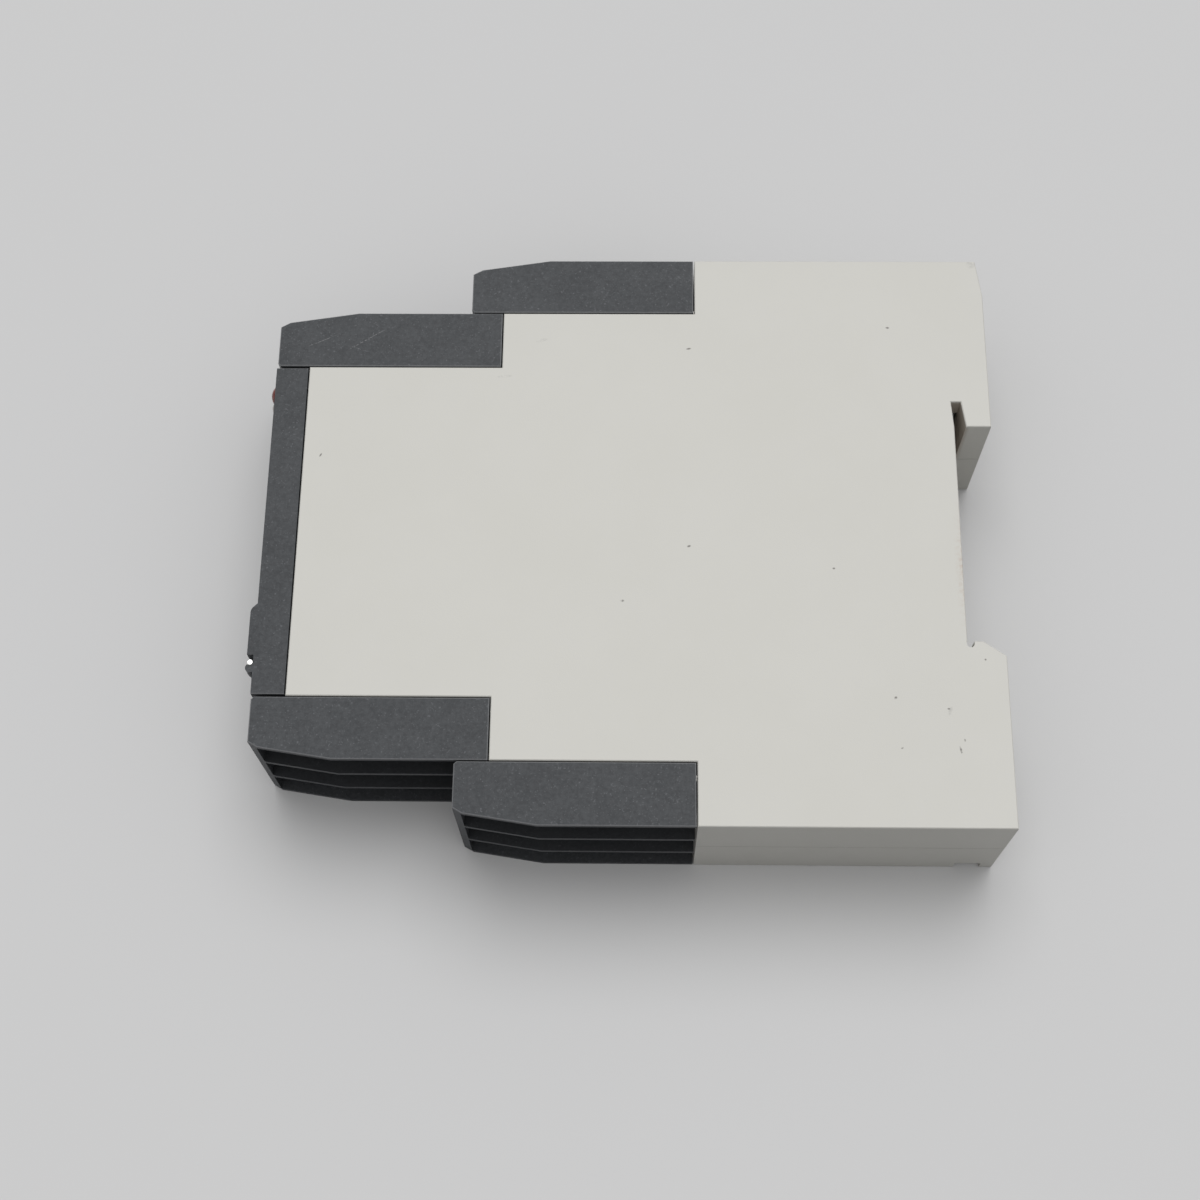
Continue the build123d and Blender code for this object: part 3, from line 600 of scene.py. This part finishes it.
def lamp_dome(node, finish, dome_height):
    """A round lens with a stretched dome, a collar in the cover and a guide to the LED."""
    low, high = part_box(node)
    radius = (high[2] - low[2]) / 2
    middle = (COVER_FACE, (low[1] + high[1]) / 2, (low[2] + high[2]) / 2)
    bpy.ops.object.select_all(action="DESELECT")
    bpy.ops.mesh.primitive_uv_sphere_add(
        segments=40, ring_count=20, radius=radius, location=middle, rotation=(0, math.pi / 2, 0)
    )
    dome = bpy.context.object
    pick(dome, "VERT", lambda place: place.x > COVER_FACE + NEAR)
    bpy.ops.mesh.delete(type="VERT")
    bpy.ops.mesh.select_all(action="SELECT")
    bpy.ops.transform.resize(value=(dome_height / radius, 1, 1), center_override=middle)
    pick(dome, "VERT", lambda place: place.x > COVER_FACE - NEAR)
    bpy.ops.mesh.extrude_region_move(TRANSFORM_OT_translate={"value": (COLLAR_DEPTH, 0, 0)})
    bpy.ops.mesh.extrude_region_move(TRANSFORM_OT_translate={"value": (0, 0, 0)})
    back = (middle[0] + COLLAR_DEPTH, middle[1], middle[2])
    bpy.ops.transform.resize(value=(1, GUIDE_SHARE, GUIDE_SHARE), center_override=back)
    guide_length = high[0] - COVER_FACE - COLLAR_DEPTH
    bpy.ops.mesh.extrude_region_move(TRANSFORM_OT_translate={"value": (guide_length, 0, 0)})
    bpy.ops.mesh.edge_face_add()
    bpy.ops.mesh.select_all(action="SELECT")
    bpy.ops.mesh.normals_make_consistent(inside=False)
    stands_for(dome, node, finish)
    print(node, "dome", round(dome_height / MM, 2), "mm high,", len(dome.data.polygons), "faces")


lamp_dome("red_lamp", red_lens, RED_DOME)
lamp_dome("clear_lamp", clear_lens, CLEAR_DOME)

# %% [markdown]
# The flap turns on a bright steel pin, whose end shows in the photo as a small bright dot. A sharp
# cylinder would mirror the ceiling right out to its rim. Bevelling both rims keeps the dot small.

# %% Hinge pin
PIN_ROUNDING = 0.16 * MM

pin_low, pin_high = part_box("flap_pin")
bpy.ops.object.select_all(action="DESELECT")
bpy.ops.mesh.primitive_cylinder_add(
    vertices=32,
    radius=(pin_high[0] - pin_low[0]) / 2,
    depth=pin_high[2] - pin_low[2],
    location=(pin_low + pin_high) / 2,
)
hinge_pin = bpy.context.object
bpy.ops.object.mode_set(mode="EDIT")
bpy.ops.mesh.select_mode(type="EDGE")
bpy.ops.mesh.select_all(action="DESELECT")
bpy.ops.mesh.edges_select_sharp(sharpness=math.radians(60))
bpy.ops.mesh.bevel(offset=PIN_ROUNDING, segments=4, affect="EDGES")
stands_for(hinge_pin, "flap_pin", bright)
print("hinge pin", len(hinge_pin.data.polygons), "faces")

# %% [markdown]
# The clamp screws have a cheese head with a round rim and a driver slot: a bevelled cylinder with
# a box cut out of it. The shank with its M3 thread is not there. A Screw modifier should wind one
# turn's outline round the axis, but no thread comes out of it, and only loose edges lie behind the
# head. The blocks hide that. One screw is made at the first place, and its copies take all twelve.

# %% Clamp screws
HEAD_HEIGHT = 1.6 * MM
HEAD_ROUNDING = 0.3 * MM
SLOT_WIDTH = 0.7 * MM
SLOT_DEPTH = 0.8 * MM
SHANK_RADIUS = 1.5 * MM
THREAD_PITCH = 0.5 * MM
THREAD_DEPTH = 0.3 * MM
THREAD_OUTLINE = ((0.375, THREAD_DEPTH), (0.125, 0), (0.375, -THREAD_DEPTH), (0.125, 0))
THREAD_STEPS = 24
HEAD_OVERLAP = 0.1 * MM
TIP_INSIDE = 0.05 * MM

screw_names = sorted(name for name in nodes if "_screw_" in name)
first_low, first_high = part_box(screw_names[0])
screw_length = first_high[0] - first_low[0]
head_radius = (first_high[2] - first_low[2]) / 2
axis_start = mathutils.Vector(
    (first_low[0], (first_low[1] + first_high[1]) / 2, (first_low[2] + first_high[2]) / 2)
)
head_middle = axis_start + mathutils.Vector((HEAD_HEIGHT / 2, 0, 0))

bpy.ops.object.select_all(action="DESELECT")
bpy.ops.mesh.primitive_cylinder_add(
    vertices=40,
    radius=head_radius,
    depth=HEAD_HEIGHT,
    location=head_middle,
    rotation=(0, math.pi / 2, 0),
)
head = bpy.context.object
pick(head, "EDGE", lambda place: place.x < head_middle.x)
bpy.ops.mesh.bevel(offset=HEAD_ROUNDING, segments=4, affect="EDGES")
bpy.ops.object.mode_set(mode="OBJECT")
bpy.ops.object.select_all(action="DESELECT")
bpy.ops.mesh.primitive_cube_add(size=1, location=axis_start)
slot_cutter = bpy.context.object
slot_cutter.scale = (2 * SLOT_DEPTH, SLOT_WIDTH, 3 * head_radius)
bpy.context.view_layer.update()
modifier_applied(head, "BOOLEAN", operation="DIFFERENCE", object=slot_cutter, solver="EXACT")
bpy.data.objects.remove(slot_cutter)

alone(head)
bpy.ops.object.select_all(action="DESELECT")
bpy.ops.mesh.primitive_plane_add(size=MM, location=head_middle)
thread = bpy.context.object
bpy.ops.object.mode_set(mode="EDIT")
bpy.ops.mesh.merge(type="CENTER")
bpy.ops.transform.translate(value=(0, SHANK_RADIUS - THREAD_DEPTH, 0))
for along, outward in THREAD_OUTLINE:
    bpy.ops.mesh.extrude_region_move(
        TRANSFORM_OT_translate={"value": (along * THREAD_PITCH, outward, 0)}
    )
bpy.ops.object.mode_set(mode="OBJECT")
turns = math.ceil((screw_length - HEAD_HEIGHT / 2) / THREAD_PITCH) + 1
modifier_applied(
    thread,
    "SCREW",
    axis="X",
    screw_offset=THREAD_PITCH,
    iterations=turns,
    steps=THREAD_STEPS,
    render_steps=THREAD_STEPS,
    use_merge_vertices=True,
    merge_threshold=0.001 * MM,
    use_normal_calculate=True,
)
thread_start = axis_start.x + HEAD_HEIGHT - HEAD_OVERLAP
thread_end = first_high[0] - TIP_INSIDE
for end_x, side in ((thread_start, -1), (thread_end, 1)):
    bpy.ops.object.mode_set(mode="EDIT")
    bpy.ops.mesh.select_all(action="SELECT")
    bpy.ops.mesh.bisect(
        plane_co=(end_x, axis_start.y, axis_start.z),
        plane_no=(side, 0, 0),
        use_fill=True,
        clear_outer=True,
    )
    bpy.ops.object.mode_set(mode="OBJECT")
head.select_set(True)
bpy.context.view_layer.objects.active = head
bpy.ops.object.join()
bpy.ops.object.mode_set(mode="EDIT")
bpy.ops.mesh.select_all(action="SELECT")
bpy.ops.mesh.normals_make_consistent(inside=False)
bpy.ops.object.mode_set(mode="OBJECT")
alone(head)
bpy.ops.object.transform_apply(location=True, rotation=True, scale=True)
for name in screw_names:
    alone(head)
    bpy.ops.object.duplicate()
    screw = bpy.context.object
    low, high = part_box(name)
    screw.location = low - first_low
    stands_for(screw, name, zinc)
bpy.data.objects.remove(head)
print(len(screw_names), "screw heads of", len(screw.data.polygons), "faces, without a shank")

# %% [markdown]
# The relay lies on its left side on a plain pale floor. The camera sees the floor a little paler
# than the light that bounces from it, so the end faces keep their shade.

# %% Floor
FLOOR_SIZE = 60
FLOOR_SEEN = (0.60, 0.60, 0.602, 1)
FLOOR_BOUNCE = (0.33, 0.33, 0.33, 1)

bpy.ops.object.select_all(action="DESELECT")
bpy.ops.mesh.primitive_plane_add(size=FLOOR_SIZE, location=(0, 0, left_side))
floor = bpy.context.object
floor.name = "floor"


def seen_directly(shader):
    """One for rays from the camera and from mirrors and glass, nought for the light's own."""
    rays = shader.node("ShaderNodeLightPath")
    kinds = ("Is Camera Ray", "Is Glossy Ray", "Is Transmission Ray")
    first, second, third = (Signal(shader, rays.outputs[kind]) for kind in kinds)
    return (first + second + third).within()


paper = Shader("floor_paper")
paper.tree.nodes.remove(paper.principled)
pale = paper.node("ShaderNodeBsdfDiffuse", {"Color": FLOOR_SEEN})
dim = paper.node("ShaderNodeBsdfDiffuse", {"Color": FLOOR_BOUNCE})
choice = paper.node(
    "ShaderNodeMixShader", {0: seen_directly(paper), 1: dim.outputs[0], 2: pale.outputs[0]}
)
paper.link(choice.outputs[0], paper.output.inputs["Surface"])
floor.data.materials.append(paper.material)
print("floor", FLOOR_SIZE, "m wide")

# %% [markdown]
# The photo has soft light from a bright ceiling, a little stronger from the relay's upper end, so
# the lower end faces lie in shade. A wide sun stands for the stronger part. The sky gives the
# rest: it is bright overhead and fades to nothing at the horizon, which darkens the wire channels
# under the edge of each block. The camera sees one plain grey in its place.

# %% Sun and sky
SUN_WIDTH = math.radians(45)
SUN_FROM = (0.05, 0.45, 1.0)
SUN_STRENGTH = 1.38
ZENITH_STRENGTH = 0.90
BACKDROP_SEEN = 0.60

bpy.ops.object.light_add(type="SUN", location=(0, 0, 1))
sun = bpy.context.object
sun.name = "wide_sun"
sun.data.angle = SUN_WIDTH
sun.data.energy = SUN_STRENGTH
sun.rotation_euler = mathutils.Vector(SUN_FROM).to_track_quat("Z", "Y").to_euler()


class Sky(Shader):
    """The world's node web, with the same short ways as a material's."""

    def __init__(self, world):
        self.tree = world.node_tree


world = bpy.data.worlds.new("studio")
world.use_nodes = True
bpy.context.scene.world = world
sky = Sky(world)
background = world.node_tree.nodes["Background"]
direction = sky.node("ShaderNodeTexCoord")
direction_split = sky.node("ShaderNodeSeparateXYZ", {"Vector": direction.outputs["Generated"]})
height = Signal(sky, direction_split.outputs[2])
seen = seen_directly(sky)
strength = height.within() * ZENITH_STRENGTH * (1 - seen) + seen * BACKDROP_SEEN
sky.link(strength.socket, background.inputs["Strength"])
background.inputs["Color"].default_value = (1.0, 1.0, 1.0, 1)
bpy.context.scene.view_settings.view_transform = "Standard"
print("sun", SUN_STRENGTH, "zenith", ZENITH_STRENGTH)

# %% [markdown]
# The camera stands where the photographer's phone was, above the relay and towards its lower
# end. Its place and tilt come from a fit to the corners of the object in the photo.

# %% Camera
CAMERA_PLACE = (-47.24 * MM, -112.12 * MM, 269.40 * MM)
CAMERA_TILT = (21.30, 0.92, 0.69)
CAMERA_LENS = 57.51

bpy.ops.object.camera_add(location=CAMERA_PLACE)
camera = bpy.context.object
camera.rotation_euler = [math.radians(angle) for angle in CAMERA_TILT]
camera.data.lens = CAMERA_LENS
camera.data.sensor_width = 36.0
camera.data.clip_start = 0.01
bpy.context.scene.camera = camera
